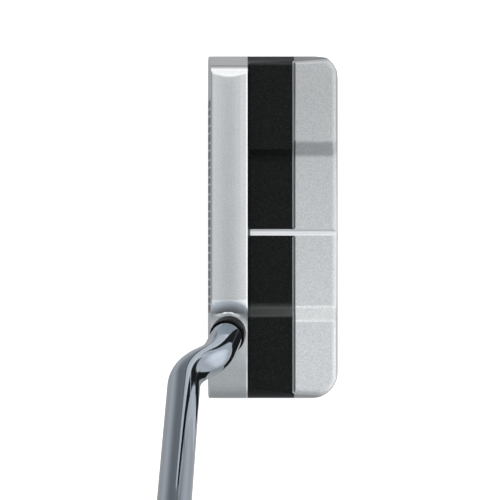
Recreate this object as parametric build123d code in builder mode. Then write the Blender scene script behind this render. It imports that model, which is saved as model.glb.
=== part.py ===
"""Right-handed mallet putter with a wide blade head and a double-bend shaft.

Frame: +X from the face to the rear, +Y from the heel to the toe, +Z up.
The origin is the centre of the flat land of the sole, as the putter stands at address.
Millimetres.
"""
from build123d import *
import os
from math import cos, radians, sin, sqrt, tan

os.makedirs("parts", exist_ok=True)

# ---- Head, overall ----
head_length = 102.3        # toe to heel
head_depth = 39.0          # leading edge to rear edge
head_height = 24.9         # sole land to the crown of the topline
face_loft = 3.0            # degrees the face leans back
lie_angle = 70.0           # degrees between shaft and ground

# ---- Head, plan view corners ----
front_corner_radius = 0.8
rear_toe_radius = 7.3
rear_heel_radius = 8.3

# ---- Head, sole and ends ----
sole_land_length = 56.0    # flat part of the sole, toe to heel
sole_land_front = 16.5     # flat part of the sole, in front of the origin
sole_land_rear = 11.0      # flat part of the sole, behind the origin
land_shift = 0.1           # centre of the head's depth in front of the origin
end_lift = 4.0             # rise of the sole at toe and heel
rear_lift = 3.6            # rise of the sole at the rear edge
sole_corner_radius = 2.6
leading_edge_radius = 2.4
toe_wall_height = 6.5      # height of the upright part of the toe
toe_round_radius = 4.0     # turns the upright toe into its slope
toe_draft = 12.5           # degrees the upper toe leans in
toe_crest_radius = 3.4     # between the toe slope and the topline
toe_crest_rise = 0.03      # how far that rounding would pass over the crown
heel_round_radius = 13.8   # quarter round of the heel

# ---- Topline ----
crown_drop = 0.45          # fall of the topline crown to its edges
topline_edge_radius = 0.6
drop_wall_draft = 5.0      # degrees, wall between topline and band
hosel_wall = 0.2           # metal between bore and face, at the bore's mouth
topline_rear_wall = 0.95   # metal between bore and drop wall, at the bore's mouth

# ---- Band and flange behind the topline ----
bumper_front_height = 17.4 # surface behind the topline, at toe and heel
bumper_fall = 10.0         # degrees the surface falls towards the rear
split_x = 6.2              # line between band and flange
recess_depth = 3.0         # centre recess below the toe and heel surfaces
band_recess_toe = 23.1     # crest of the band's recess, toe side
band_recess_heel = 26.2
band_slope_run = 2.6
band_foot_radius = 3.0     # rounds the foot of the band's slopes into the recess floor
flange_foot_toe = 21.3     # foot of the flange's recess slopes, toe side
flange_foot_heel = 23.95
flange_slope_run = 3.9
flange_slope_radius = 1.8
flange_edge_radius = 2.0
band_edge_radius = 0.4     # crests of the band at toe and heel
rear_wall_draft = 3.0      # degrees

# ---- Grooves ----
split_groove_width = 0.95
split_groove_depth = 0.45
sight_y = -1.6             # centre of the sight line
sight_width = 1.9          # at the surface
sight_flat = 0.6           # at the bottom
sight_depth = 0.55
sight_land = 0.25          # metal between the sight line and the end of each split groove

# ---- Shaft tip, bore and ferrule ----
shaft_tip_diameter = 9.4
shaft_tip_wall = 0.9
bond_gap = 0.08            # epoxy thickness round the shaft tip
platform_height = 22.2     # flat that the ferrule sits on
bore_mouth_y = -31.9
bore_lean = 11.0           # degrees the bore leans towards the face, going up
bore_depth = 15.4          # along the bore, from the platform to the end of the shaft
bore_end_gap = 0.3         # below the end of the shaft
dish_y = -34.3             # centre of the scoop round the ferrule
dish_radius = 12.5         # at the topline
dish_slope = 35.0          # degrees
dish_floor_radius = 5.5
dish_edge_radius = 1.1
ferrule_wall = 0.48
ferrule_height = 1.9       # along the shaft, above the centre of the bore's mouth
ferrule_seat = 2.4         # along the shaft, below the centre of the bore's mouth
ferrule_bevel = 0.25
ferrule_groove = 0.15      # depth and half width of its two ring grooves
ferrule_gap = 0.02         # between ferrule and shaft
ferrule_side_gap = 0.04    # between ferrule and head

# ---- Shaft above the head ----
club_length = 863.6        # ground to the end of the grip, along the shaft
lower_run = 18.4           # bore mouth to the first bend
middle_run = 20.85         # first bend to the second bend
middle_lean_face = 25.7    # degrees the middle run leans towards the face
middle_lean_heel = 11.6    # degrees the middle run leans towards the heel
upper_lean_face = 0.95     # degrees the straight shaft leans towards the face
lower_bend_radius = 38.0
upper_bend_radius = 50.0
straight_along = 41.25     # second bend to the start of the turned upper shaft
shaft_butt_diameter = 14.7
shaft_butt_wall = 0.45
shaft_step_count = 12
shaft_step_start = 165.0   # second bend to the first step
shaft_step_spacing = 29.5
shaft_step_taper = 2.5     # length of the cone at each step

# ---- Grip ----
grip_length = 266.7
grip_tape_thickness = 0.2
grip_mouth_wall = 1.0      # rubber round the shaft at the mouth
grip_cap_thickness = 4.0
grip_vent_diameter = 3.0
grip_edge_radius = 1.6
grip_flat_share = 0.55     # width of the flat front against the full width

# Share of the sleeve's length, then half width, flat front and belly beyond those of a round mouth
grip_shape = (
    (0.0, 0.0, -0.2, 0.0),
    (0.3, 1.6, -0.1, 2.2),
    (0.6, 3.0, 0.0, 4.0),
    (0.82, 3.9, 0.2, 6.2),
    (1.0, 4.3, 0.4, 8.4),
)

# ---- Face insert ----
insert_length = 64.8
insert_height = 17.2
insert_corner_radius = 3.5
insert_rim = 0.5           # plate metal outside the windows, at the least
insert_toe_y = 38.5        # toe end of the insert
insert_foot = 4.0          # bottom of the insert above the ground line of the face
insert_gap = 0.05          # all round the insert
plate_thickness = 0.8
core_thickness = 1.4
tape_thickness = 0.12
window_pitch = 5.08        # one wide and one narrow window
window_wide = 2.4
window_narrow = 1.7
window_height = 2.75
window_row_pitch = 3.25
window_rows = 5
window_columns = 12
window_slant = 0.5         # shift of a window's top against its bottom

# ---- Sole pocket ----
pocket_length = 50.0       # toe to heel
pocket_front = 2.5         # front wall, behind the origin
pocket_rear = 15.0
pocket_depth = 7.5         # above the sole land
pocket_corner_radius = 3.0

# ---- Sole weights ----
weight_head_diameter = 12.0
weight_head_length = 5.0
weight_stud_diameter = 8.0
weight_stud_length = 5.0
weight_y = 33.0            # from the centre, towards toe and heel
weight_x = 3.0
weight_sink = 1.0          # outer face of a weight above the sole land
weight_gap = 0.05
weight_socket = 5.0        # across the flats of the hexagon
weight_socket_depth = 3.0
weight_chamfer = 0.5

# ==== Places worked out from the sizes above ====
margin = 1.0               # how far a cutting profile reaches past the head
pick = 0.01                # half width of the slice in which a corner is looked for
leading_x = -head_depth / 2 - land_shift
rear_x = leading_x + head_depth
toe_y = head_length / 2
heel_y = -head_length / 2
loft_slope = tan(radians(face_loft))
face_foot_x = leading_x - leading_edge_radius * loft_slope


def face_x(height):
    """X of the face plane at a height above the sole."""
    return face_foot_x + height * loft_slope


bore_diameter = shaft_tip_diameter + 2 * bond_gap
heel_lean_slope = tan(radians(90 - lie_angle))
face_lean_slope = tan(radians(bore_lean))
bore_up = Vector(-face_lean_slope, -heel_lean_slope, 1).normalized()
bore_reach_x = bore_diameter / 2 * sqrt(1 + face_lean_slope**2)
bore_mouth_x = face_x(platform_height) + hosel_wall + bore_reach_x
bore_mouth = Vector(bore_mouth_x, bore_mouth_y, platform_height)

topline_rear_x = bore_mouth_x + bore_reach_x + topline_rear_wall
crown_edge_height = head_height - crown_drop
crest_height = head_height + toe_crest_rise
fall_slope = tan(radians(bumper_fall))
band_front_x = topline_rear_x + (crown_edge_height - bumper_front_height) * tan(radians(drop_wall_draft))


def wall_x(height):
    """X of the drop wall at a height above the sole."""
    return topline_rear_x + (crown_edge_height - height) * tan(radians(drop_wall_draft))


def bumper_z(x):
    """Height of the toe and heel surfaces behind the topline."""
    return bumper_front_height - (x - band_front_x) * fall_slope


fall_plane = Plane(
    origin=(band_front_x, 0, bumper_front_height),
    x_dir=(0, 1, 0),
    z_dir=(cos(radians(bumper_fall)), 0, -sin(radians(bumper_fall))),
)
bore_plane = Plane(origin=bore_mouth, z_dir=bore_up)
face_plane = Plane(
    origin=(face_foot_x, 0, 0),
    x_dir=(0, -1, 0),
    z_dir=(-cos(radians(face_loft)), 0, sin(radians(face_loft))),
)

# Crests of the flange's recess, before they are rounded
flange_crest_toe = flange_foot_toe + flange_slope_run
flange_crest_heel = flange_foot_heel + flange_slope_run

# Shaft: from the bore up through two bends to the straight upper part
middle_up = Vector(-tan(radians(middle_lean_face)), -tan(radians(middle_lean_heel)), 1).normalized()
upper_up = Vector(-tan(radians(upper_lean_face)), -heel_lean_slope, 1).normalized()
tip_end = bore_mouth - bore_up * bore_depth
bend_low = bore_mouth + bore_up * lower_run
bend_high = bend_low + middle_up * middle_run
straight_start = bend_high + upper_up * straight_along
butt_along = club_length - bend_high.Z / upper_up.Z - grip_cap_thickness
butt_end = bend_high + upper_up * (butt_along + grip_cap_thickness)
upper_x = Plane(bend_high, z_dir=upper_up).x_dir
upper_section_plane = Plane(bend_high, x_dir=upper_x, z_dir=upper_x.cross(upper_up))

sleeve_length = grip_length - grip_cap_thickness
grip_mouth = bend_high + upper_up * (butt_along - sleeve_length)
grip_x = Vector(0, 1, 0).cross(upper_up).normalized()
sleeve_bore_radius = shaft_butt_diameter / 2 + grip_tape_thickness
grip_mouth_half = sleeve_bore_radius + grip_mouth_wall


# Ferrule, insert and weights
ferrule_radius = shaft_tip_diameter / 2 + ferrule_gap + ferrule_wall
insert_thickness = plate_thickness + core_thickness + tape_thickness
insert_centre = Vector(insert_length / 2 - insert_toe_y, insert_foot + insert_height / 2)
weight_places = ((weight_x, weight_y), (weight_x, -weight_y))
weight_shoulder = weight_sink + weight_head_length

# ==== Profiles shared by the blade and the flange ====
with BuildSketch(Plane.YZ.offset(leading_x - margin)) as end_profile:
    with BuildLine():
        land = Line((-sole_land_length / 2, 0), (sole_land_length / 2, 0))
        toe_camber = TangentArc(land @ 1, (toe_y, end_lift), tangent=(1, 0))
        toe_wall = Line(toe_camber @ 1, (toe_y, toe_wall_height))
        toe_round = JernArc(toe_wall @ 1, (0, 1), toe_round_radius, toe_draft)
        slope_rise = crest_height - toe_crest_radius * (1 - sin(radians(toe_draft))) - (toe_round @ 1).Y
        slope_top = (toe_round @ 1) + Vector(-slope_rise * tan(radians(toe_draft)), slope_rise)
        toe_slope = Line(toe_round @ 1, slope_top)
        crest = JernArc(toe_slope @ 1, toe_slope % 1, toe_crest_radius, 90 - toe_draft)
        top = Line(crest @ 1, (bore_mouth_y, crest_height))
        step = Line(top @ 1, (bore_mouth_y, platform_height))
        platform = Line(step @ 1, (heel_y + heel_round_radius, platform_height))
        heel_round = JernArc(platform @ 1, (-1, 0), heel_round_radius, 90)
        heel_wall = Line(heel_round @ 1, (heel_y, end_lift))
        heel_camber = TangentArc(land @ 0, heel_wall @ 1, tangent=(-1, 0))
    make_face()
    sole_corners = end_profile.vertices().filter_by_position(Axis.Y, end_lift - pick, end_lift + pick)
    fillet(sole_corners, sole_corner_radius)

# Plan outline of the whole head
with BuildSketch(Plane.XY) as plan:
    with Locations(((leading_x + rear_x) / 2, 0)):
        Rectangle(head_depth, head_length)
    fillet(plan.vertices().group_by(Axis.X)[0], front_corner_radius)
    fillet(plan.vertices().group_by(Axis.X)[-1].sort_by(Axis.Y)[-1], rear_toe_radius)
    fillet(plan.vertices().group_by(Axis.X)[-1].sort_by(Axis.Y)[0], rear_heel_radius)

# Side outline of the sole, the rear wall and the face
with BuildSketch(Plane.XZ.offset(-toe_y - margin)) as side_profile:
    with BuildLine():
        sole_land = Line((-sole_land_front, 0), (sole_land_rear, 0))
        rear_camber = TangentArc(sole_land @ 1, (rear_x, rear_lift), tangent=(1, 0))
        rear_top_x = rear_x - (head_height + margin - rear_lift) * tan(radians(rear_wall_draft))
        rear_wall = Line(rear_camber @ 1, (rear_top_x, head_height + margin))
        top_cover = Line(rear_wall @ 1, (face_x(head_height + margin), head_height + margin))
        face_line = Line(top_cover @ 1, (face_foot_x, 0))
        Line(face_line @ 1, sole_land @ 0)
    make_face()
    fillet(side_profile.vertices().sort_by(Axis.X)[0], leading_edge_radius)
    rear_corner = side_profile.vertices().filter_by_position(Axis.X, rear_x - pick, rear_x + pick)
    fillet(rear_corner, sole_corner_radius / 2)

# ==== Rear flange: rounded edges and a soft centre recess ====
with BuildPart() as flange:
    extrude(plan.sketch, amount=head_height)
    extrude(end_profile.sketch, amount=head_depth + 2 * margin, mode=Mode.INTERSECT)
    extrude(side_profile.sketch, amount=head_length + 2 * margin, mode=Mode.INTERSECT)
    with BuildSketch(fall_plane) as flange_section:
        with BuildLine():
            toe_flat = Line((head_length, 0), (flange_crest_toe, 0))
            toe_dip = Line(toe_flat @ 1, (flange_foot_toe, -recess_depth))
            recess_floor = Line(toe_dip @ 1, (-flange_foot_heel, -recess_depth))
            heel_dip = Line(recess_floor @ 1, (-flange_crest_heel, 0))
            heel_flat = Line(heel_dip @ 1, (-head_length, 0))
            Polyline(heel_flat @ 1, (-head_length, -head_length), (head_length, -head_length), toe_flat @ 0)
        make_face()
        slope_ends = flange_section.vertices().filter_by_position(
            Axis.X, -flange_crest_heel - pick, flange_crest_toe + pick
        )
        fillet(slope_ends, flange_slope_radius)
    extrude(amount=head_depth, mode=Mode.INTERSECT)
    split(bisect_by=Plane.YZ.offset(split_x), keep=Keep.TOP)
    top_faces = flange.faces().filter_by(lambda face: face.normal_at().Z > 0.6)
    top_edges = [edge for face in top_faces for edge in face.edges()]
    rim = [edge for edge in top_edges if top_edges.count(edge) == 1 and edge.center().X > split_x + margin]
    fillet(rim, flange_edge_radius)

# ==== Space of the band's centre recess, behind the drop wall ====
slope_rate = band_slope_run / recess_depth
with BuildPart() as band_recess:
    with BuildSketch(fall_plane.offset(-head_depth / 2)) as band_section:
        with BuildLine():
            Polyline(
                (band_recess_toe + margin * slope_rate, margin),
                (band_recess_toe - band_slope_run, -recess_depth),
                (-band_recess_heel + band_slope_run, -recess_depth),
                (-band_recess_heel - margin * slope_rate, margin),
                close=True,
            )
        make_face()
        slope_feet = band_section.vertices().filter_by_position(
            Axis.Y, -recess_depth - pick, -recess_depth + pick
        )
        fillet(slope_feet, band_foot_radius)
    extrude(amount=head_depth)
    with BuildSketch(Plane.XZ.offset(-head_length / 2)):
        with BuildLine():
            Polyline(
                (wall_x(0), 0),
                (split_x, 0),
                (split_x, head_height),
                (wall_x(head_height), head_height),
                close=True,
            )
        make_face()
    extrude(amount=head_length, mode=Mode.INTERSECT)

# ==== Head casting ====
with BuildPart() as head_body:
    extrude(plan.sketch, amount=head_height + margin)
    extrude(end_profile.sketch, amount=head_depth + 2 * margin, mode=Mode.INTERSECT)
    extrude(side_profile.sketch, amount=head_length + 2 * margin, mode=Mode.INTERSECT)
    # Topline with its crown, drop wall and band
    with BuildSketch(Plane.XZ.offset(-toe_y - margin)) as blade_section:
        with BuildLine():
            crown_front = (face_x(crown_edge_height), crown_edge_height)
            crown_middle = ((crown_front[0] + topline_rear_x) / 2, head_height)
            crown = ThreePointArc(crown_front, crown_middle, (topline_rear_x, crown_edge_height))
            drop_wall = Line(crown @ 1, (band_front_x, bumper_front_height))
            band_line = Line(drop_wall @ 1, (split_x, bumper_z(split_x)))
            Polyline(band_line @ 1, (split_x, -margin), (face_x(-margin), -margin), crown @ 0)
        make_face()
        crown_ends = blade_section.vertices().filter_by_position(
            Axis.Y, crown_edge_height - pick, crown_edge_height + pick
        )
        fillet(crown_ends, topline_edge_radius)
    extrude(amount=head_length + 2 * margin, mode=Mode.INTERSECT)
    add(band_recess.part, mode=Mode.SUBTRACT)
    split_top = bumper_z(split_x)
    band_crests = head_body.edges().filter_by_position(Axis.X, band_front_x + margin, split_x - margin)
    band_crests = band_crests.filter_by_position(Axis.Z, split_top, bumper_front_height).sort_by(Axis.Y)
    fillet([band_crests[0], band_crests[-1]], band_edge_radius)
    add(flange.part)

    # Scoop round the ferrule, with a rounded crest that fades into the crown
    dish_plane = Plane(origin=(bore_mouth.X, dish_y, 0), x_dir=(0, 1, 0), z_dir=(1, 0, 0))
    dish_run = (crest_height - platform_height) / tan(radians(dish_slope))
    with BuildSketch(dish_plane) as dish_section:
        with BuildLine():
            dish_floor = Line((0, platform_height), (dish_radius - dish_run, platform_height))
            dish_side = Line(dish_floor @ 1, (dish_radius, crest_height))
            dish_lip = Line(dish_side @ 1, (head_length, crest_height))
            Polyline(dish_lip @ 1, (head_length, head_length), (0, head_length), dish_floor @ 0)
        make_face()
        fillet(dish_section.vertices().sort_by_distance(dish_floor @ 1)[0], dish_floor_radius)
        fillet(dish_section.vertices().sort_by_distance(dish_side @ 1)[0], dish_edge_radius)
    revolve(axis=Axis(dish_plane.origin, (0, 0, 1)), mode=Mode.SUBTRACT)

    # Split groove between band and flange, in two closed lengths, one each side of the sight line
    recess_drop = recess_depth / cos(radians(bumper_fall))
    sight_keep = sight_width / 2 + sight_land
    groove_runs = (
        (toe_y + margin, flange_crest_toe, flange_foot_toe, sight_y + sight_keep),
        (heel_y - margin, -flange_crest_heel, -flange_foot_heel, sight_y - sight_keep),
    )
    for outer_y, crest_y, foot_y, inner_y in groove_runs:
        with BuildLine(Plane.YZ.offset(split_x)) as groove_path:
            FilletPolyline(
                (outer_y, split_top),
                (crest_y, split_top),
                (foot_y, split_top - recess_drop),
                (inner_y, split_top - recess_drop),
                radius=flange_slope_radius,
            )
        groove_start = groove_path.wire() @ 0
        with BuildSketch(Plane(groove_start, x_dir=(1, 0, 0), z_dir=groove_path.wire() % 0)):
            with BuildLine():
                side = 1 if outer_y > 0 else -1
                Polyline(
                    (0, -side * split_groove_depth),
                    (split_groove_width / 2, 0),
                    (split_groove_width / 2, side * 2 * margin),
                    (-split_groove_width / 2, side * 2 * margin),
                    (-split_groove_width / 2, 0),
                    close=True,
                )
            make_face()
        sweep(path=groove_path.wire(), mode=Mode.SUBTRACT)

    # Sight line, from the foot of the drop wall out through the rear edge
    with BuildSketch(fall_plane.offset(recess_depth * tan(radians(drop_wall_draft)))):
        with BuildLine():
            sight_flare = (sight_width - sight_flat) / 2 / sight_depth * margin
            Polyline(
                (sight_y - sight_flat / 2, -recess_depth - sight_depth),
                (sight_y + sight_flat / 2, -recess_depth - sight_depth),
                (sight_y + sight_width / 2 + sight_flare, -recess_depth + margin),
                (sight_y - sight_width / 2 - sight_flare, -recess_depth + margin),
                close=True,
            )
        make_face()
    extrude(amount=head_depth, mode=Mode.SUBTRACT)

    # Shaft bore and the wider seat of the ferrule
    with BuildSketch(bore_plane.offset(-bore_depth - bore_end_gap)):
        Circle(bore_diameter / 2)
    extrude(amount=bore_depth + bore_end_gap + head_height / 2, mode=Mode.SUBTRACT)
    with BuildSketch(bore_plane.offset(-ferrule_seat)):
        Circle(ferrule_radius + ferrule_side_gap)
    extrude(amount=ferrule_seat + head_height / 2, mode=Mode.SUBTRACT)

    # Insert pocket in the face
    with BuildSketch(face_plane.offset(-insert_thickness)):
        with Locations(insert_centre):
            RectangleRounded(
                insert_length + 2 * insert_gap,
                insert_height + 2 * insert_gap,
                insert_corner_radius + insert_gap,
            )
    extrude(amount=insert_thickness + margin, mode=Mode.SUBTRACT)

    # Sole pocket that saves weight under the flange
    with BuildSketch(Plane.XY.offset(-margin)):
        with Locations(((pocket_front + pocket_rear) / 2, 0)):
            RectangleRounded(pocket_rear - pocket_front, pocket_length, pocket_corner_radius)
    extrude(amount=pocket_depth + margin, mode=Mode.SUBTRACT)

    # Stepped holes of the two sole weights
    with BuildSketch(Plane.XY.offset(-margin)):
        with Locations(*weight_places):
            Circle(weight_head_diameter / 2 + weight_gap)
    extrude(amount=margin + weight_shoulder, mode=Mode.SUBTRACT)
    with BuildSketch(Plane.XY.offset(weight_shoulder)):
        with Locations(*weight_places):
            Circle(weight_stud_diameter / 2 + weight_gap)
    extrude(amount=weight_stud_length + weight_gap, mode=Mode.SUBTRACT)
head_body.part.label = "head_body"
export_step(head_body.part, "parts/head_body.step")

# ==== Face insert: steel lattice, elastomer behind and through it, adhesive film ====
with BuildSketch(face_plane.offset(-plate_thickness)) as windows:
    first_x = -(window_columns * window_pitch + window_wide) / 2
    first_y = -(window_rows - 1) * window_row_pitch / 2
    for row in range(window_rows):
        for column in range(2 * window_columns + 1):
            width = window_wide if column % 2 == 0 else window_narrow
            rib = (window_pitch - window_wide - window_narrow) / 2
            left = first_x + column // 2 * window_pitch + column % 2 * (window_wide + rib)
            with Locations(insert_centre + Vector(left + width / 2, first_y + row * window_row_pitch)):
                Polygon(
                    (-width / 2 - window_slant / 2, -window_height / 2),
                    (width / 2 - window_slant / 2, -window_height / 2),
                    (width / 2 + window_slant / 2, window_height / 2),
                    (-width / 2 + window_slant / 2, window_height / 2),
                    align=None,
                )
    with Locations(insert_centre):
        RectangleRounded(
            insert_length - 2 * insert_rim,
            insert_height - 2 * insert_rim,
            insert_corner_radius - insert_rim,
            mode=Mode.INTERSECT,
        )

with BuildPart() as hinge_plate:
    with BuildSketch(face_plane.offset(-plate_thickness)):
        with Locations(insert_centre):
            RectangleRounded(insert_length, insert_height, insert_corner_radius)
    extrude(amount=plate_thickness)
    extrude(windows.sketch, amount=plate_thickness, mode=Mode.SUBTRACT)
hinge_plate.part.label = "hinge_plate"
export_step(hinge_plate.part, "parts/hinge_plate.step")

with BuildPart() as elastomer_core:
    with BuildSketch(face_plane.offset(-plate_thickness - core_thickness)):
        with Locations(insert_centre):
            RectangleRounded(insert_length, insert_height, insert_corner_radius)
    extrude(amount=core_thickness)
    extrude(windows.sketch, amount=plate_thickness)
elastomer_core.part.label = "elastomer_core"
export_step(elastomer_core.part, "parts/elastomer_core.step")

with BuildPart() as insert_tape:
    with BuildSketch(face_plane.offset(-insert_thickness)):
        with Locations(insert_centre):
            RectangleRounded(insert_length, insert_height, insert_corner_radius)
    extrude(amount=tape_thickness)
insert_tape.part.label = "insert_tape"
export_step(insert_tape.part, "parts/insert_tape.step")

# ==== Sole weights: one turned screw, used at the toe and at the heel ====
for weight_name, weight_place in zip(("toe_weight", "heel_weight"), weight_places):
    with BuildPart() as weight:
        with BuildSketch(Plane.XY.offset(weight_sink)):
            with Locations(weight_place):
                Circle(weight_head_diameter / 2)
        extrude(amount=weight_head_length)
        with BuildSketch(Plane.XY.offset(weight_shoulder)):
            with Locations(weight_place):
                Circle(weight_stud_diameter / 2)
        extrude(amount=weight_stud_length)
        chamfer(weight.edges().group_by(Axis.Z)[0], weight_chamfer)
        chamfer(weight.edges().group_by(Axis.Z)[-1], weight_chamfer)
        with BuildSketch(Plane.XY.offset(weight_sink)):
            with Locations(weight_place):
                RegularPolygon(weight_socket / 2, 6, major_radius=False)
        extrude(amount=weight_socket_depth, mode=Mode.SUBTRACT)
    weight.part.label = weight_name
    export_step(weight.part, f"parts/{weight_name}.step")

# ==== Ferrule ring round the shaft ====
ring_plane = Plane(origin=bore_mouth, x_dir=bore_plane.x_dir, z_dir=bore_plane.x_dir.cross(bore_up))
with BuildPart() as ferrule:
    with BuildSketch(ring_plane):
        with BuildLine():
            inner = shaft_tip_diameter / 2 + ferrule_gap
            Polyline(
                (inner, -ferrule_seat),
                (ferrule_radius, -ferrule_seat),
                (ferrule_radius, ferrule_height - ferrule_bevel),
                (ferrule_radius - ferrule_bevel, ferrule_height),
                (inner, ferrule_height),
                close=True,
            )
        make_face()
        with BuildLine():
            for middle in (ferrule_height / 2, -ferrule_height / 4):
                Polyline(
                    (ferrule_radius, middle - ferrule_groove),
                    (ferrule_radius, middle + ferrule_groove),
                    (ferrule_radius - ferrule_groove, middle),
                    close=True,
                )
        make_face(mode=Mode.SUBTRACT)
    revolve(axis=Axis(bore_mouth, bore_up))
ferrule.part.label = "ferrule"
export_step(ferrule.part, "parts/ferrule.step")

# ==== Epoxy between the shaft tip and the bore, under the ferrule ====
with BuildPart() as shaft_bond:
    with BuildSketch(bore_plane.offset(-bore_depth)):
        Circle(bore_diameter / 2)
        Circle(shaft_tip_diameter / 2, mode=Mode.SUBTRACT)
    extrude(amount=bore_depth - ferrule_seat)
shaft_bond.part.label = "shaft_bond"
export_step(shaft_bond.part, "parts/shaft_bond.step")

# ==== Shaft: two bends above the head, then a stepped tube up to the butt ====
step_rise = (shaft_butt_diameter - shaft_tip_diameter) / 2 / shaft_step_count
wall_loss = (shaft_tip_wall - shaft_butt_wall) / shaft_step_count
outer_steps = []
inner_steps = []
for step_number in range(shaft_step_count):
    along = shaft_step_start + step_number * shaft_step_spacing
    radius = shaft_tip_diameter / 2 + step_number * step_rise
    inner_radius = radius - shaft_tip_wall + step_number * wall_loss
    outer_steps.append((radius, along))
    outer_steps.append((radius + step_rise, along + shaft_step_taper))
    inner_steps.append((inner_radius, along))
    inner_steps.append((inner_radius + step_rise + wall_loss, along + shaft_step_taper))

with BuildPart() as shaft:
    with BuildLine() as shaft_path:
        FilletPolyline(
            tip_end, bend_low, bend_high, straight_start, radius=(lower_bend_radius, upper_bend_radius)
        )
    with BuildSketch(Plane(tip_end, z_dir=bore_up)):
        Circle(shaft_tip_diameter / 2)
        Circle(shaft_tip_diameter / 2 - shaft_tip_wall, mode=Mode.SUBTRACT)
    sweep(path=shaft_path.wire())
    with BuildSketch(upper_section_plane):
        with BuildLine():
            Polyline(
                (shaft_tip_diameter / 2 - shaft_tip_wall, straight_along),
                (shaft_tip_diameter / 2, straight_along),
                *outer_steps,
                (shaft_butt_diameter / 2, butt_along),
                (shaft_butt_diameter / 2 - shaft_butt_wall, butt_along),
                *reversed(inner_steps),
                close=True,
            )
        make_face()
    revolve(axis=Axis(bend_high, upper_up))
shaft.part.label = "shaft"
export_step(shaft.part, "parts/shaft.step")

# ==== Grip: tape on the butt, a moulded rubber sleeve with a flat front, and its end cap ====
with BuildPart() as grip_tape:
    with BuildSketch(Plane(grip_mouth, z_dir=upper_up)):
        Circle(sleeve_bore_radius)
        Circle(shaft_butt_diameter / 2, mode=Mode.SUBTRACT)
    extrude(amount=sleeve_length)
grip_tape.part.label = "grip_tape"
export_step(grip_tape.part, "parts/grip_tape.step")


def grip_section(plane, extra_width, extra_flat, extra_belly):
    """Draw one section of the grip: a flat front, round sides and a deeper belly."""
    half_width = grip_mouth_half + extra_width
    flat = grip_mouth_half + extra_flat
    belly = grip_mouth_half + extra_belly
    with BuildSketch(plane) as section:
        with BuildLine():
            front = Line((-half_width * grip_flat_share, flat), (half_width * grip_flat_share, flat))
            TangentArc((half_width, 0), front @ 1, tangent=(0, 1))
            TangentArc((-half_width, 0), front @ 0, tangent=(0, 1))
            EllipticalCenterArc((0, 0), half_width, belly, 180, arc_size=180)
        make_face()
    return section.sketch


with BuildPart() as grip_sleeve:
    sections = []
    for share, *extras in grip_shape:
        section_plane = Plane(grip_mouth + upper_up * (share * sleeve_length), x_dir=grip_x, z_dir=upper_up)
        sections.append(grip_section(section_plane, *extras))
    loft(sections)
    with BuildSketch(Plane(grip_mouth, z_dir=upper_up)):
        Circle(sleeve_bore_radius)
    extrude(amount=sleeve_length, mode=Mode.SUBTRACT)
grip_sleeve.part.label = "grip_sleeve"
export_step(grip_sleeve.part, "parts/grip_sleeve.step")

with BuildPart() as grip_cap:
    cap_plane = Plane(grip_mouth + upper_up * sleeve_length, x_dir=grip_x, z_dir=upper_up)
    extrude(grip_section(cap_plane, *grip_shape[-1][1:]), amount=grip_cap_thickness)
    fillet(grip_cap.faces().sort_by_distance(butt_end)[0].edges(), grip_edge_radius)
    with BuildSketch(cap_plane):
        Circle(grip_vent_diameter / 2)
    extrude(amount=grip_cap_thickness, mode=Mode.SUBTRACT)
grip_cap.part.label = "grip_cap"
export_step(grip_cap.part, "parts/grip_cap.step")
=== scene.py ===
# %% [markdown]
# # A mallet putter on a pale studio floor
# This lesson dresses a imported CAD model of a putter. The CAD says where every part is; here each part
# gets its finish, and the parts whose shine needs a cleaner mesh are made again. The face looks along
# -X, the toe is at +Y, and the shaft rises over the heel.

# %% Load the frame
import bmesh
import bpy
from math import cos, degrees, exp, log, pi, radians, sin, sqrt, tan
from mathutils import Matrix, Vector


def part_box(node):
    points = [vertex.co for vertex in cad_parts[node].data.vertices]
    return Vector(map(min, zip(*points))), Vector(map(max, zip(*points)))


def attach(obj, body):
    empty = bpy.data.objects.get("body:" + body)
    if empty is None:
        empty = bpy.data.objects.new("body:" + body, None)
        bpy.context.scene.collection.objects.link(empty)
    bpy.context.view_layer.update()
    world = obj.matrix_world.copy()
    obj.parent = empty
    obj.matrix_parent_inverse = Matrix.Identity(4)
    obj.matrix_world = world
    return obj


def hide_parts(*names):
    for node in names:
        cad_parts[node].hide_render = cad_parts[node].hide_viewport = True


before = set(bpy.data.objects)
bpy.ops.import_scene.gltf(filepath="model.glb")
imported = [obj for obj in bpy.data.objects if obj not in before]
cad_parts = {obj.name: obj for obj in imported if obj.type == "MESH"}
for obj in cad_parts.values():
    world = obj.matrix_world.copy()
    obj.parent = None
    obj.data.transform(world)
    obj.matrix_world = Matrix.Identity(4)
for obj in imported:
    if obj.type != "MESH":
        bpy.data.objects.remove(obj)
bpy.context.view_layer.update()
scene = bpy.context.scene
print("CAD parts:", sorted(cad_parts))

# %% [markdown]
# ## Small helpers
# Sizes are written in millimetres, as a club maker would, and turned to metres where they are used.
# Colours are written as the hex values seen on a screen. Blender mixes light in linear values,
# so one function turns a screen colour into a linear one.

# %% Units and colours
MM = 0.001


def linear(hex_colour):
    """Turn an sRGB hex colour into the linear RGBA that shaders use."""
    values = [int(hex_colour[i:i + 2], 16) / 255 for i in (1, 3, 5)]
    return (*[v / 12.92 if v <= 0.04045 else ((v + 0.055) / 1.055) ** 2.4 for v in values], 1.0)


print("mid grey in linear light:", [round(v, 3) for v in linear("#808080")])

# %% A helper that adds one node
def add_node(tree, kind, settings=None, **sockets):
    """Add a node, set its properties, and give each named input a value or a link."""
    node = tree.nodes.new(kind)
    for name, value in (settings or {}).items():
        setattr(node, name, value)
    for name, value in sockets.items():
        key = int(name[2:]) if name.startswith("in") and name[2:].isdigit() else name.replace("_", " ")
        socket = node.inputs[key]
        if isinstance(value, bpy.types.NodeSocket):
            tree.links.new(value, socket)
        else:
            socket.default_value = value
    return node


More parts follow.
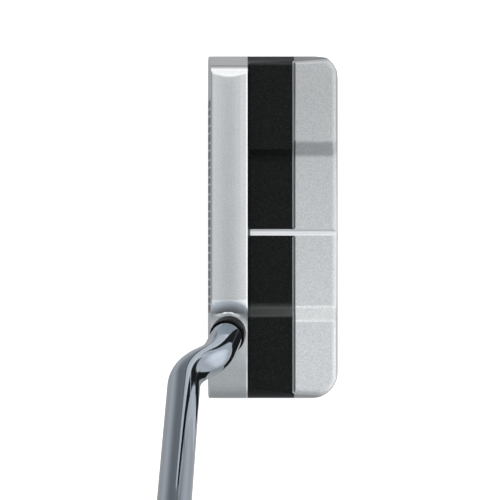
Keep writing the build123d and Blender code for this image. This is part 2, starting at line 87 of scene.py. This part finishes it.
# %% [markdown]
# ## The camera
# A golfer at address looks straight down on the putter. A long lens from above keeps the head's sides
# nearly parallel. The camera stands over the heel side of the head, a little in front of its middle.

# %% Camera straight above the head
camera_height = 1265 * MM
camera_place = Vector((-6.96 * MM, -6.87 * MM, camera_height))
camera = bpy.data.objects.new("camera", bpy.data.cameras.new("camera"))
camera.data.lens = 302.4
camera.data.sensor_width = 36.0
camera.data.clip_start = 0.01
camera.location = camera_place
scene.collection.objects.link(camera)
scene.camera = camera
print("the camera looks down from", camera_height, "m")

# %% [markdown]
# ## The floor
# The floor is a wide, matt, pale sheet. Table tops for product pictures are often lit from below
# to drive them to white, so a little light of its own stands in for that.
# It stays out of mirror reflections, because polished chrome would otherwise turn white as well.

# %% Floor
floor_half = 60.0               # metres from its middle to each side
floor_mesh = bmesh.new()
bmesh.ops.create_grid(floor_mesh, x_segments=1, y_segments=1, size=floor_half)
floor_data = bpy.data.meshes.new("floor")
floor_mesh.to_mesh(floor_data)
floor_mesh.free()
floor = bpy.data.objects.new("floor", floor_data)
scene.collection.objects.link(floor)
floor.visible_glossy = False

floor_material = bpy.data.materials.new("white lit table")
floor_material.use_nodes = True
floor_shader = floor_material.node_tree.nodes["Principled BSDF"]
floor_shader.inputs["Base Color"].default_value = linear("#f2f2f2")
floor_shader.inputs["Roughness"].default_value = 0.9
floor_shader.inputs["Specular IOR Level"].default_value = 0.0
floor_shader.inputs["Emission Color"].default_value = linear("#ffffff")
floor_shader.inputs["Emission Strength"].default_value = 0.50
floor_data.materials.append(floor_material)
print("floor:", floor.dimensions.x, "m across")

# %% [markdown]
# ## The studio light
# Metal shows its surroundings, so what surrounds it matters more than any lamp.
# The world is painted as a plain studio: a dim room and large soft panels towards the toe and the rear.
# Small dark patches stand for the camera overhead and a dark card, which give metal its deeper tones.
# Each panel is a window in the direction that a ray leaves in.

# %% World: a dim room
scene.view_settings.view_transform = "Standard"
world = bpy.data.worlds.new("soft studio")
scene.world = world
world.use_nodes = True
sky = world.node_tree
sky.nodes.clear()
direction = add_node(sky, "ShaderNodeTexCoord").outputs["Generated"]
height = add_node(sky, "ShaderNodeSeparateXYZ", Vector=direction).outputs["Z"]
room = add_node(sky, "ShaderNodeValToRGB", Fac=add_node(
    sky, "ShaderNodeMapRange", Value=height, From_Min=-1.0, From_Max=1.0).outputs[0])
room_tones = (
    # place from straight down to straight up, light
    (0.0, 0.46), (0.06, 0.46), (0.14, 0.40), (0.40, 0.44),
    (0.50, 0.52), (0.60, 0.50), (0.86, 0.50), (1.0, 0.74),
)
room_tint = (0.965, 0.99, 1.02)
ramp = room.color_ramp
ramp.interpolation = "EASE"
while len(ramp.elements) < len(room_tones):
    ramp.elements.new(0.5)
for element, (place, tone) in zip(ramp.elements, room_tones):
    element.position = place
    element.color = (*[tone * tint for tint in room_tint], 1.0)
print("room tones:", len(ramp.elements))

# %% World: soft panels
# Angles are in degrees. The soft edge is a share of the panel's half size. A card with light below
# zero takes light away, as a dark card beside the work does.
panels = (
    # name, azimuth from +X, elevation, half width, half height, soft edge, light
    ("toe panel", 90, 38, 50, 40, 0.25, (0.93, 0.93, 0.92)),
    ("low toe panel", 90, -28, 55, 42, 0.30, (0.28, 0.28, 0.28)),
    ("rear panel", 0, 30, 40, 34, 0.30, (0.95, 0.94, 0.93)),
    ("high rear panel", 0, 72, 40, 9, 0.50, (0.18, 0.18, 0.18)),
    ("low rear panel", 0, -15, 50, 30, 0.35, (1.00, 1.00, 1.00)),
    ("front panel", 180, 66, 30, 12, 0.50, (0.14, 0.14, 0.14)),
    ("heel panel", -90, 12, 50, 35, 0.40, (0.24, 0.24, 0.24)),
    ("camera and its hood", 0, 90, 9, 9, 0.50, (-0.20, -0.20, -0.20)),
    ("dark card", 90, -47, 18, 15, 0.60, (-0.42, -0.42, -0.42)),
    ("pale card", 20, -62, 40, 22, 0.40, (0.08, 0.08, 0.08)),
)
light = room.outputs["Color"]
for name, azimuth, elevation, half_width, half_height, soft, strength in panels:
    a, e = radians(azimuth), radians(elevation)
    towards = (cos(a) * cos(e), sin(a) * cos(e), sin(e))
    across = (-sin(a), cos(a), 0.0)
    upward = (-cos(a) * sin(e), -sin(a) * sin(e), cos(e))
    dots = [add_node(sky, "ShaderNodeVectorMath", {"operation": "DOT_PRODUCT"},
                     in0=direction, in1=axis).outputs["Value"] for axis in (towards, across, upward)]
    window = None
    for dot, half in zip(dots[1:], (half_width, half_height)):
        angle = add_node(sky, "ShaderNodeMath", {"operation": "ARCTAN2"}, in0=dot, in1=dots[0])
        size = add_node(sky, "ShaderNodeMath", {"operation": "ABSOLUTE"}, in0=angle.outputs[0])
        edge = add_node(
            sky, "ShaderNodeMapRange", {"interpolation_type": "SMOOTHSTEP"}, Value=size.outputs[0],
            From_Min=radians(half) * (1 + soft), From_Max=radians(half) * (1 - soft),
        )
        window = edge.outputs[0] if window is None else add_node(
            sky, "ShaderNodeMath", {"operation": "MULTIPLY"},
            in0=window, in1=edge.outputs[0]).outputs[0]
    panel = add_node(sky, "ShaderNodeVectorMath", {"operation": "SCALE"}, in0=strength, Scale=window)
    total = add_node(sky, "ShaderNodeVectorMath", {"operation": "ADD"}, in0=light, in1=panel.outputs[0])
    light = total.outputs[0]
background = add_node(sky, "ShaderNodeBackground", Color=light, Strength=1.0)
add_node(sky, "ShaderNodeOutputWorld", Surface=background.outputs[0])
print("panels:", [row[0] for row in panels])

# %% [markdown]
# ## Finishes
# Every finish starts from what the real surface is and how it was made.
# Patterns are placed with Object coordinates, which are metres here, so a noise with a scale of
# 1 / size shows grains of about that size.

# %% A new finish
def new_finish(name, base, metallic, roughness):
    """Make a material with a plain shader and hand back its tree, shader and coordinates."""
    made = bpy.data.materials.new(name)
    made.use_nodes = True
    tree = made.node_tree
    shader = tree.nodes["Principled BSDF"]
    shader.inputs["Base Color"].default_value = linear(base)
    shader.inputs["Metallic"].default_value = metallic
    shader.inputs["Roughness"].default_value = roughness
    place = add_node(tree, "ShaderNodeTexCoord").outputs["Object"]
    return made, tree, shader, place


def per_metre(size_mm):
    """Noise scale whose grains are about this many millimetres."""
    return 1 / (size_mm * MM)


NOISE_LOW, NOISE_HIGH = 0.3, 0.7    # nearly all of a noise lies between these values

# %% [markdown]
# Blasting with glass beads dents steel all over. Real dents are about 0.1 mm, too fine to show from
# a golfer's height, so they are drawn at about 0.4 mm. Smoothed steel has the same grain, only
# weaker, so one function makes every steel of the head.

# %% Blasted and satin stainless steel
STEEL_GRAIN_MM, STEEL_CLOUD_MM, DENT_DEPTH = 0.42, 6.0, 0.02 * MM


def steel_finish(name, base, rough_low, rough_high, contrast, relief, fade=(-38, 40, 1.0)):
    """Fine-grained steel: grain sets its tone and relief, and a slow cloud varies its sheen.

    fade says from where to where along the head, in millimetres, the tone dims,
    and to what share.
    """
    made, tree, shader, place = new_finish(name, base, 1.0, rough_high)
    grain = add_node(tree, "ShaderNodeTexNoise", Vector=place, Scale=per_metre(STEEL_GRAIN_MM),
                     Detail=2.0, Roughness=0.6)
    cloud = add_node(tree, "ShaderNodeTexNoise", Vector=place, Scale=per_metre(STEEL_CLOUD_MM),
                     Detail=3.0)
    tone = add_node(tree, "ShaderNodeMapRange", Value=grain.outputs[0], From_Min=NOISE_LOW,
                    From_Max=NOISE_HIGH, To_Min=1.0 - contrast, To_Max=1.0 + contrast / 2)
    sheen = add_node(tree, "ShaderNodeMapRange", Value=cloud.outputs[0], From_Min=NOISE_LOW,
                     From_Max=NOISE_HIGH, To_Min=rough_low, To_Max=rough_high)
    along = add_node(tree, "ShaderNodeSeparateXYZ", Vector=place).outputs["Y"]
    fade_start, fade_end, fade_share = fade
    dimming = add_node(tree, "ShaderNodeMapRange", Value=along, From_Min=fade_start * MM,
                       From_Max=fade_end * MM, To_Min=1.0, To_Max=fade_share)
    tone = add_node(tree, "ShaderNodeMath", {"operation": "MULTIPLY"},
                    in0=tone.outputs[0], in1=dimming.outputs[0])
    tint = add_node(tree, "ShaderNodeMix", {"data_type": "RGBA", "blend_type": "MULTIPLY"},
                    Factor=1.0, in6=linear(base), in7=tone.outputs[0])
    bump = add_node(tree, "ShaderNodeBump", Strength=relief, Distance=DENT_DEPTH,
                    Height=grain.outputs[0])
    tree.links.new(tint.outputs[2], shader.inputs["Base Color"])
    tree.links.new(sheen.outputs[0], shader.inputs["Roughness"])
    tree.links.new(bump.outputs[0], shader.inputs["Normal"])
    return made


# The topline and the ends are smoothed after casting; the flange is blasted with glass beads.
satin_steel = steel_finish("satin smoothed stainless steel", "#d2d3d3", 0.25, 0.27, 0.07, 0.20)
# The flange's tone dims towards the toe end.
blasted_steel = steel_finish(
    "bead-blasted stainless steel", "#c1c3c4", 0.36, 0.44, 0.20, 0.70, (-38, 40, 0.72))
# Round the shaft the tone dims towards the heel end: painted shade from the shaft and ferrule.
dish_steel = steel_finish(
    "blasted steel round the shaft", "#e1e6e8", 0.40, 0.46, 0.14, 0.40, (-25, -42, 0.68))
# The bright steel of the strip on the platform's rear edge is a painted highlight.
edge_highlight_steel = steel_finish("polished steel edge", "#f0f1f1", 0.18, 0.20, 0.02, 0.05)
print("steels:", [made.name for made in (satin_steel, blasted_steel, dish_steel, edge_highlight_steel)])

# %% [markdown]
# The band is sprayed black over the blasted casting and baked. It is nearly matt, and the dents
# under it leave fine paler specks. A noise through a colour ramp gives the specks, and the same noise
# gives the relief, so that both agree. They are drawn coarser than they are, so that they show.

# %% Black paint on the band
band_paint, tree, shader, place = new_finish("sprayed matt black paint", "#151716", 0.0, 0.42)
speck = add_node(tree, "ShaderNodeTexNoise", Vector=place, Scale=per_metre(0.38), Detail=2.0)
specks = add_node(tree, "ShaderNodeValToRGB", Fac=speck.outputs[0])
specks.color_ramp.elements[0].position = 0.42
specks.color_ramp.elements[0].color = linear("#040505")
specks.color_ramp.elements[1].position = 0.72
specks.color_ramp.elements[1].color = linear("#1d2020")
bump = add_node(tree, "ShaderNodeBump", Strength=0.3, Distance=0.02 * MM, Height=speck.outputs[0])
tree.links.new(specks.outputs[0], shader.inputs["Base Color"])
tree.links.new(bump.outputs[0], shader.inputs["Normal"])

# %% Painted highlights along the band
# Specular level raised in two narrow strips paints highlights: at the foot of the heel slope and along
# the crest of the toe end, where rounded edges catch the light.
ramp_reach_mm = 50
painted_highlight_stops = (
    # place along the head in millimetres, specular level
    (-27.0, 0.08), (-26.2, 0.85), (-24.6, 1.00), (-23.6, 0.30),
    (-22.6, 0.08), (48.0, 0.08), (48.7, 0.5), (49.4, 0.05),
)
along = add_node(tree, "ShaderNodeSeparateXYZ", Vector=place).outputs["Y"]
gloss = add_node(tree, "ShaderNodeValToRGB", Fac=add_node(
    tree, "ShaderNodeMapRange", Value=along,
    From_Min=-ramp_reach_mm * MM, From_Max=ramp_reach_mm * MM).outputs[0])
while len(gloss.color_ramp.elements) < len(painted_highlight_stops):
    gloss.color_ramp.elements.new(0.5)
for element, (y_mm, level) in zip(gloss.color_ramp.elements, painted_highlight_stops):
    element.position = y_mm / (2 * ramp_reach_mm) + 0.5
    element.color = (level, level, level, 1.0)
# the raised specular levels paint the highlights on the band
tree.links.new(gloss.outputs[0], shader.inputs["Specular IOR Level"])
print("gloss stops along the band:", len(painted_highlight_stops))

# %% Machined steel of the grooves
# The sight line is cut after painting, so it shows bright bare steel. The split groove's darker steel is
# painted shade, for the shade inside the narrow groove.
cut_steel = steel_finish("milled bare stainless steel", "#d2d4d6", 0.28, 0.32, 0.04, 0.10)
groove_shade_steel = steel_finish("dulled groove steel", "#94979a", 0.44, 0.50, 0.08, 0.20)
print("machined steels:", cut_steel.name, "and", groove_shade_steel.name)

# %% [markdown]
# The shaft is a drawn steel tube, plated with nickel and then chrome: a clean mirror with a cold
# tint. Nothing on it has a pattern, so only its roughness wanders a little, as polishing leaves it.
# The collar is plastic, turned and polished.

# %% Chrome plate and ferrule plastic
chrome, tree, shader, place = new_finish("bright chrome plate", "#9fa8b3", 1.0, 0.05)
haze = add_node(tree, "ShaderNodeTexNoise", Vector=place, Scale=per_metre(9.0), Detail=3.0)
sheen = add_node(tree, "ShaderNodeMapRange", Value=haze.outputs[0], From_Min=NOISE_LOW,
                 From_Max=NOISE_HIGH, To_Min=0.035, To_Max=0.06)
tree.links.new(sheen.outputs[0], shader.inputs["Roughness"])

# The collar's gloss is held low, because the real one shows hardly any of the room.
ferrule_plastic, tree, shader, place = new_finish("polished black plastic", "#060607", 0.0, 0.16)
shader.inputs["Specular IOR Level"].default_value = 0.06
print("shaft finishes:", chrome.name, "and", ferrule_plastic.name)

# %% [markdown]
# The insert, the weights and the grip each have one colour and a fine grain from how they were made.
# One function makes them all, from the size of the grain and the depth of its relief.

# %% Finishes of one colour with a fine grain
def grained_finish(name, base, metallic, roughness, grain_mm, detail, strength, depth_mm):
    """A plain finish whose only pattern is the relief of a fine grain."""
    made, tree, shader, place = new_finish(name, base, metallic, roughness)
    grain = add_node(tree, "ShaderNodeTexNoise", Vector=place, Scale=per_metre(grain_mm), Detail=detail)
    bump = add_node(tree, "ShaderNodeBump", Strength=strength, Distance=depth_mm * MM,
                    Height=grain.outputs[0])
    tree.links.new(bump.outputs[0], shader.inputs["Normal"])
    return made


# Thin stainless sheet, etched into a lattice and left with a fine satin skin.
insert_steel = grained_finish("etched stainless sheet", "#d4d8dd", 1.0, 0.34, 0.25, 2.0, 0.2, 0.01)
# Cast elastomer behind the lattice: warm dark grey, slightly dull.
elastomer = grained_finish("cast urethane elastomer", "#3c3a38", 0.0, 0.55, 0.4, 2.0, 0.2, 0.02)
# Steel of the weights, fresh from the lathe.
weight_steel = grained_finish("turned stainless steel", "#bfc2c5", 1.0, 0.25, 0.3, 1.0, 0.1, 0.01)
# Rubber of the grip, pressed in a mould: dull, with a skin that is slightly rough to the hand.
grip_rubber = grained_finish("moulded black rubber", "#17181a", 0.0, 0.6, 0.6, 2.0, 0.3, 0.05)
print("finishes:", len(bpy.data.materials))

# %% [markdown]
# ## A clean copy of a CAD part
# A CAD part arrives as loose flat triangles. Merging their corners lets neighbouring facets share
# a normal, so roundings shade smoothly, while edges sharper than a set angle stay crisp.

# %% Copy, merge, smooth
SAME_PLACE = 1e-7                   # corners nearer than this, in metres, are one corner


def smooth_between_creases(bm, crease_degrees):
    """Shade a bmesh smooth, but keep edges that turn by more than an angle sharp."""
    for face in bm.faces:
        face.smooth = True
    for edge in bm.edges:
        edge.smooth = edge.calc_face_angle(0.0) < radians(crease_degrees)


def merged_copy(node):
    """Give a bmesh of a CAD part with its corners merged and its creases marked."""
    bm = bmesh.new()
    bm.from_mesh(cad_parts[node].data)
    bmesh.ops.remove_doubles(bm, verts=bm.verts, dist=SAME_PLACE)
    smooth_between_creases(bm, 35.0)
    return bm


def make_piece(bm, name, materials, replaced=(), weighted=True):
    """Turn a bmesh into a piece that rides on the club and stands for CAD parts."""
    data = bpy.data.meshes.new(name)
    bm.to_mesh(data)
    bm.free()
    for material in materials:
        data.materials.append(material)
    piece = bpy.data.objects.new(name, data)
    scene.collection.objects.link(piece)
    if weighted:
        normals = piece.modifiers.new("weighted normals", "WEIGHTED_NORMAL")
        normals.keep_sharp = True
    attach(piece, "root")
    if replaced:
        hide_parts(*replaced)
    print(name, "has", len(data.polygons), "faces")
    return piece


# %% [markdown]
# ## The head
# The head is one steel casting. Its band is masked and sprayed black, then the groove behind the band
# and the sight line are cut, which leaves bare bright steel. So the head stays one piece,
# and each finish goes on by place: the mesh is first cut along the edges of the mask.

# %% Head: cut along the mask
drop_wall_x = -7.68 * MM            # rear edge of the topline
groove_front_x = 5.725 * MM         # front lip of the groove behind the band
groove_rear_x = 6.675 * MM
split_x = 6.2 * MM                  # middle of that groove
mask_top = 23.75 * MM               # the mask's edge just under the rounded edge of the topline
mask_foot = 7.0 * MM                # the mask's edge on the toe and heel walls


def cut_faces(bm, faces, point, normal):
    """Cut some faces along a plane, and keep both sides."""
    part = set(faces) | {e for f in faces for e in f.edges} | {v for f in faces for v in f.verts}
    bmesh.ops.bisect_plane(bm, geom=list(part), dist=SAME_PLACE, plane_co=point, plane_no=normal)


head = merged_copy("head_body")
for point, normal in (((drop_wall_x, 0, 0), (1, 0, 0)), ((split_x, 0, 0), (1, 0, 0)),
                      ((0, 0, mask_foot), (0, 0, 1)), ((0, 0, mask_top), (0, 0, 1))):
    cut_faces(head, head.faces[:], point, normal)
print("head after the cuts:", len(head.faces), "faces")

# %% [markdown]
# The long shine on a satin head lives on its soft crests. The CAD mesh spends few triangles there,
# so the topline is cut into a fine grid where it rounds over at the toe and into the scoop
# in front of the shaft. Each new corner is then set to the height that the round should have.

# %% Head: a fine grid on the topline
topline_foot_z = 21.4 * MM          # faces above this belong to the topline
topline_rear_x = drop_wall_x + 0.2 * MM
grid_start_x, grid_step_x, grid_lines = -18.6 * MM, 0.7 * MM, 17
TOUCHING = 1e-6                     # a face that only touches the border isn't cut


def cut_topline(bm, low_y, high_y, step):
    """Cut the top of the topline into a fine grid between two places along it."""
    places = [((0, low_y + step * index, 0), (0, 1, 0))
              for index in range(int((high_y - low_y) / step) + 1)]
    places += [((grid_start_x + grid_step_x * index, 0, 0), (1, 0, 0)) for index in range(grid_lines)]
    for point, normal in places:
        faces = [f for f in bm.faces if f.calc_center_median().z > topline_foot_z
                 and f.calc_center_median().x < topline_rear_x
                 and max(v.co.y for v in f.verts) > low_y + TOUCHING
                 and min(v.co.y for v in f.verts) < high_y - TOUCHING]
        cut_faces(bm, faces, point, normal)


def soft_lower(a, b, blend):
    """The lower of two heights, with a soft change from one to the other."""
    return min(a, b) - blend * log(1 + exp(-abs(a - b) / blend))


# %% Head: a full round at the toe end of the topline
# The round touches the toe slope, whose tilt and one of whose points are known, and the crown.
crest_radius = 4.3 * MM
crest_top_z = 24.93 * MM
crest_blend = 0.05 * MM             # how softly the round meets the crown
crest_reach = 2.0 * MM              # length of crown that takes part in that
crest_guide_rise = 0.1              # slope of the guide that leaves the crown alone
slope_tilt = radians(77.5)
slope_point_y, slope_point_z = 47.75 * MM, 22.27 * MM
crest_foot_z = crest_top_z - crest_radius * (1 - cos(slope_tilt))
slope_y = slope_point_y - (crest_foot_z - slope_point_z) / tan(slope_tilt)
crest_y = slope_y - crest_radius * sin(slope_tilt)
crest_start = crest_y - crest_reach
toe_end_y = 49.0 * MM


def crest_height(y):
    """Height of the round at a place along the topline, and of a rising guide beyond its top."""
    if y < crest_y:
        return crest_top_z + crest_guide_rise * (crest_y - y)
    return crest_top_z - crest_radius + sqrt(crest_radius ** 2 - (y - crest_y) ** 2)


cut_topline(head, crest_start, toe_end_y, 0.15 * MM)
for vert in head.verts:
    x, y, z = vert.co
    if crest_start < y < slope_y and z > topline_foot_z and x < topline_rear_x:
        vert.co.z = soft_lower(z, crest_height(y), crest_blend)
print("head after rounding its toe crest:", len(head.faces), "faces")

# %% Head: the soft crest of the scoop in front of the shaft
# The scoop is a cone round an upright axis, and the crown of the topline is a shallow arch.
scoop_x, scoop_y, scoop_radius = -13.493 * MM, -34.3 * MM, 12.5 * MM
scoop_rise = tan(radians(35))
scoop_blend = 0.14 * MM             # how softly the cone meets the crown
crown_x, crown_half, crown_z, crown_fall = -13.059 * MM, 5.386 * MM, 24.9 * MM, 0.45 * MM
scoop_low_y, scoop_cut_y, scoop_high_y = -26.0 * MM, -25.5 * MM, -18.0 * MM
scoop_foot_z = 22.6 * MM
cut_topline(head, scoop_cut_y, scoop_high_y, 0.3 * MM)
for vert in head.verts:
    x, y, z = vert.co
    if scoop_low_y < y < scoop_high_y and z > scoop_foot_z and x < topline_rear_x:
        from_axis = sqrt((x - scoop_x) ** 2 + (y - scoop_y) ** 2)
        crown = crown_z - crown_fall * ((x - crown_x) / crown_half) ** 2
        slope = crest_top_z + (from_axis - scoop_radius) * scoop_rise
        vert.co.z = min(z, soft_lower(crown, slope, scoop_blend))
print("head after softening the scoop:", len(head.faces), "faces")

# %% [markdown]
# The flange's toe end stands more upright than the band's. A short move of the corners does that:
# along each of the three directions it grows from nothing to its full size over a short run,
# so the surface bends and does not tear.

# %% Head: a steeper toe end on the flange
flange_shift = 0.6 * MM
toe_limit_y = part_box("head_body")[1][1]
shift_runs = (
    # start, length
    (split_x, groove_rear_x - split_x),
    (43.0 * MM, 4.0 * MM),
    (7.4 * MM, 6.6 * MM),
)
for vert in head.verts:
    share = 1.0
    for place, (start, length) in zip(vert.co, shift_runs):
        share *= min(max((place - start) / length, 0), 1)
    vert.co.y = min(vert.co.y + flange_shift * share, toe_limit_y)
print("the flange's toe end moves out by up to", round(flange_shift / MM, 2), "mm")

# %% [markdown]
# Two finishes need borders that the CAD mesh does not have. The rear edge of the shaft's platform gets a
# bright strip, a painted highlight that stands in for the light on a rounded edge: a cut marks off its
# strip.
# Then each face is judged by its middle and by the way it looks, up, sideways or down.

# %% Head: a narrow strip for a painted highlight along the rear edge of the platform
strip_x = drop_wall_x - 0.45 * MM
platform_toe_y = -29.0 * MM         # the platform lies on the heel side of this
strip_toe_y = -31.0 * MM
cut_faces(head, [f for f in head.faces if f.calc_center_median().y < platform_toe_y],
          (strip_x, 0, 0), (1, 0, 0))
print("strip from", round(strip_x / MM, 2), "mm")

# %% Head: give each face its finish
head_finishes = (
    satin_steel, band_paint, cut_steel, blasted_steel, groove_shade_steel, dish_steel, edge_highlight_steel)
SATIN, PAINT, BARE, BLASTED, GROOVE, DISH, EDGE = range(len(head_finishes))
BARELY_UP, UP, NOT_DOWN, SIDEWAYS, FORWARD = 0.05, 0.2, -0.2, 0.5, -0.9
sight_y, sight_half = -1.6 * MM, 0.99 * MM
sight_front_x, sight_top_z = drop_wall_x + 0.9 * MM, 14.6 * MM
dish_toe_y = -20.0 * MM             # the scoop and the platform lie on the heel side of this
dish_rear_x = drop_wall_x + 0.25 * MM
scoop_border_y = -21.6 * MM         # across the topline at the crest of the scoop
heel_end_y = -45.0 * MM
counts = [0] * len(head_finishes)
for face in head.faces:
    x, y, z = face.calc_center_median()
    n = face.normal
    on_top = z > mask_foot and n.z > BARELY_UP
    in_sight = abs(y - sight_y) < sight_half and on_top and x > sight_front_x and z < sight_top_z
    in_groove = groove_front_x < x < groove_rear_x and on_top and abs(n.x) > SIDEWAYS
    in_band = drop_wall_x < x < split_x and mask_foot < z < mask_top and n.z > NOT_DOWN
    on_flange = x > split_x and n.z > NOT_DOWN
    at_heel = y < heel_end_y and n.x > FORWARD
    in_scoop = z < mask_top or y < scoop_border_y
    in_dish = y < dish_toe_y and in_scoop and x < dish_rear_x and (n.z > UP or at_heel)
    # the strip on the platform's rear edge gets the bright steel, a painted highlight
    on_strip = in_dish and y < strip_toe_y and x > strip_x
    face.material_index = (
        BARE if in_sight else GROOVE if in_groove else PAINT if in_band else BLASTED if on_flange
        else EDGE if on_strip else DISH if in_dish else SATIN)
    counts[face.material_index] += 1
print("faces in satin, paint, bare, blasted, groove, dish and edge steel:", counts)
make_piece(head, "head_casting", head_finishes, ["head_body"])

# %% [markdown]
# ## The shaft
# The shaft is one chromed tube: it leaves the bore, bends twice, and rises to the grip in steps.
# A mirror shows every facet, so it is made afresh from one ring. Straight runs are extruded,
# and each bend is a spin of the ring about the bend's own centre, as a tube bender does it.

# %% Shaft: points of its centre line
tip_end = Vector((-10.7257, -26.7186, 7.9643)) * MM
bend_low = Vector((-16.7991, -38.0907, 39.2089)) * MM
bend_high = Vector((-25.6900, -41.8829, 57.6830)) * MM
butt_end = Vector((-38.1886, -316.2208, 811.4200)) * MM
cap_length = 4.0 * MM
lower_bend_radius, upper_bend_radius = 38.0 * MM, 50.0 * MM
tip_radius, butt_radius = 4.7 * MM, 7.35 * MM
step_count, step_start, step_spacing = 12, 165.0 * MM, 29.5 * MM
step_cone = 2.5 * MM                # length over which the tube widens at a step
bore_up = (bend_low - tip_end).normalized()
middle_up = (bend_high - bend_low).normalized()
upper_up = (butt_end - bend_high).normalized()

# %% Shaft: ring, runs and bends
AROUND, BEND_STEPS = 96, 24
shaft = bmesh.new()
turn = bore_up.to_track_quat("Z", "Y").to_matrix().to_4x4()
bmesh.ops.create_circle(shaft, cap_ends=False, segments=AROUND, radius=tip_radius,
                        matrix=Matrix.Translation(tip_end) @ turn)
ring = shaft.edges[:]
at = tip_end.copy()


def run_to(bm, ring, start, end, scale=1.0):
    """Extrude the open ring from start to end, and scale it there."""
    made = bmesh.ops.extrude_edge_only(bm, edges=ring)["geom"]
    verts = [g for g in made if isinstance(g, bmesh.types.BMVert)]
    bmesh.ops.translate(bm, verts=verts, vec=end - start)
    if scale != 1.0:
        for vert in verts:
            vert.co = end + (vert.co - end) * scale
    return [g for g in made if isinstance(g, bmesh.types.BMEdge)
            and all(v in verts for v in g.verts)]


def bend(bm, ring, start, before, after, bend_radius):
    """Spin the ring round a bend that begins at start and turns from one direction to the other."""
    angle = before.angle(after)
    inward = (after - before * cos(angle)) / sin(angle)
    centre = start + inward * bend_radius
    made = bmesh.ops.spin(bm, geom=ring, cent=centre, axis=before.cross(after).normalized(),
                          angle=angle, steps=BEND_STEPS, use_duplicate=False)["geom_last"]
    return [g for g in made if isinstance(g, bmesh.types.BMEdge)]


for corner, before, after, bend_radius in ((bend_low, bore_up, middle_up, lower_bend_radius),
                                           (bend_high, middle_up, upper_up, upper_bend_radius)):
    leg = bend_radius * tan(before.angle(after) / 2)
    ring = run_to(shaft, ring, at, corner - before * leg)
    ring = bend(shaft, ring, corner - before * leg, before, after, bend_radius)
    at = corner + after * leg
print("the bends turn", round(degrees(bore_up.angle(middle_up)), 1), "and",
      round(degrees(middle_up.angle(upper_up)), 1), "degrees")

# %% Shaft: steps and ends
radius = tip_radius
rise = (butt_radius - tip_radius) / step_count
sharp_rings = []
for step in range(step_count):
    for along, wider in ((step_start + step * step_spacing, radius),
                         (step_start + step * step_spacing + step_cone, radius + rise)):
        end = bend_high + upper_up * along
        ring = run_to(shaft, ring, at, end, wider / radius)
        at, radius = end, wider
        sharp_rings += ring
ring = run_to(shaft, ring, at, butt_end - upper_up * cap_length)
bmesh.ops.holes_fill(shaft, edges=[e for e in shaft.edges if e.is_boundary], sides=0)
bmesh.ops.recalc_face_normals(shaft, faces=shaft.faces)
for face in shaft.faces:
    face.smooth = len(face.verts) == 4
for edge in sharp_rings:
    if edge.is_valid:
        edge.smooth = False
make_piece(shaft, "chromed_shaft", (chrome,), ["shaft"], weighted=False)

# %% [markdown]
# ## The ferrule
# A short turned collar hides the joint of shaft and head. It is a profile spun round the shaft's axis,
# as on a lathe, with two fine grooves and softened edges.

# %% Ferrule
bore_mouth = Vector((-13.4929, -31.9, 22.2)) * MM
ferrule_inner, ferrule_outer = 4.72 * MM, 5.2 * MM
ferrule_top, ferrule_foot = 1.9 * MM, -2.4 * MM     # along the shaft, from the mouth of the bore
ring_cut, soft_edge = 0.15 * MM, 0.25 * MM
profile = [(ferrule_inner, ferrule_foot), (ferrule_outer, ferrule_foot)]
for middle in (-ferrule_top / 4, ferrule_top / 2):
    profile += [(ferrule_outer, middle - ring_cut), (ferrule_outer - ring_cut, middle),
                (ferrule_outer, middle + ring_cut)]
profile += [(ferrule_outer, ferrule_top - soft_edge), (ferrule_outer - soft_edge, ferrule_top),
            (ferrule_inner, ferrule_top)]
ferrule = bmesh.new()
corners = [ferrule.verts.new((r, 0, z)) for r, z in profile]
outline = [ferrule.edges.new((a, b)) for a, b in zip(corners, corners[1:] + corners[:1])]
bmesh.ops.spin(ferrule, geom=corners + outline, cent=(0, 0, 0), axis=(0, 0, 1), angle=2 * pi,
               steps=AROUND, use_merge=True, use_duplicate=False)
bmesh.ops.remove_doubles(ferrule, verts=ferrule.verts, dist=SAME_PLACE)
bmesh.ops.recalc_face_normals(ferrule, faces=ferrule.faces)
smooth_between_creases(ferrule, 30.0)
bmesh.ops.transform(ferrule, verts=ferrule.verts, matrix=Matrix.Translation(bore_mouth) @ turn)
make_piece(ferrule, "ferrule_collar", (ferrule_plastic,), ["ferrule"])

# %% [markdown]
# ## The grip
# A moulded rubber sleeve with a flat front where the thumbs lie. Its shape is all in the CAD part,
# so a merged copy with a rubber finish is enough.

# %% Grip
make_piece(merged_copy("grip_sleeve"), "rubber_grip", (grip_rubber,), ["grip_sleeve"])
make_piece(merged_copy("grip_cap"), "rubber_cap", (grip_rubber,), ["grip_cap"])

# %% [markdown]
# ## Parts that keep their CAD mesh
# The lattice, the elastomer and the weights are flat-sided or turned small, so their CAD meshes will do,
# and they only get a finish. The film, the tape and the epoxy are hidden inside, and share
# the elastomer's.

# %% Finishes on CAD meshes
kept = {
    "hinge_plate": insert_steel,
    "elastomer_core": elastomer,
    "toe_weight": weight_steel,
    "heel_weight": weight_steel,
    "insert_tape": elastomer,
    "shaft_bond": elastomer,
    "grip_tape": elastomer,
}
for node, material in kept.items():
    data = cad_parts[node].data
    data.materials.clear()
    data.materials.append(material)
print("kept CAD parts:", sorted(kept))
